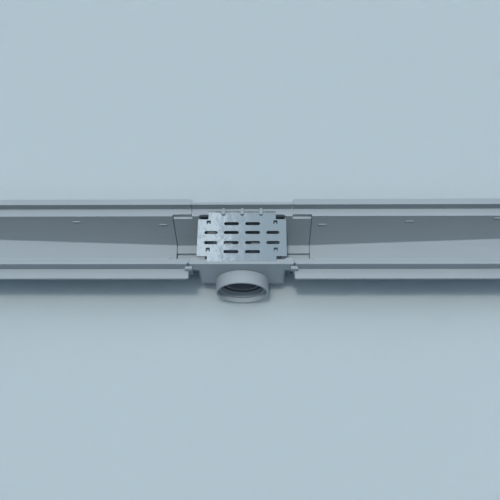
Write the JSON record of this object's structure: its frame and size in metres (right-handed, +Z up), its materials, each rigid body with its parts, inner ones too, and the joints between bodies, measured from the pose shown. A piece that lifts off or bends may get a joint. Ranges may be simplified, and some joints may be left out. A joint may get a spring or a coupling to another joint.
{
  "type": "linear channel drain",
  "caption": "Linear shower channel drain: central sump with slotted steel strainer, odour trap and round side outlet, and shallow sloping channels lapped on each side.",
  "frame": {"origin": "on the ground under the middle of the sump", "axes": "+X along the channel to the viewer's right, +Y across it to the back, +Z up; the outlet leaves towards -Y"},
  "size_m": [0.6, 0.086, 0.065],
  "materials": {
    "moulded_plastic": "satin pale blue-grey",
    "stainless_sheet": "satin",
    "trap_plastic": "matt",
    "black_rubber": "matt"
  },
  "bodies": {
    "root": {"centre_body": "moulded_plastic", "left_channel": "moulded_plastic", "right_channel": "moulded_plastic", "outlet_spigot": "moulded_plastic", "rim_clips": "moulded_plastic", "strainer_plate": "stainless_sheet", "trap_cassette": "trap_plastic", "trap_seal": "black_rubber", "left_joint_seal": "black_rubber", "right_joint_seal": "black_rubber"}
  },
  "joints": []
}
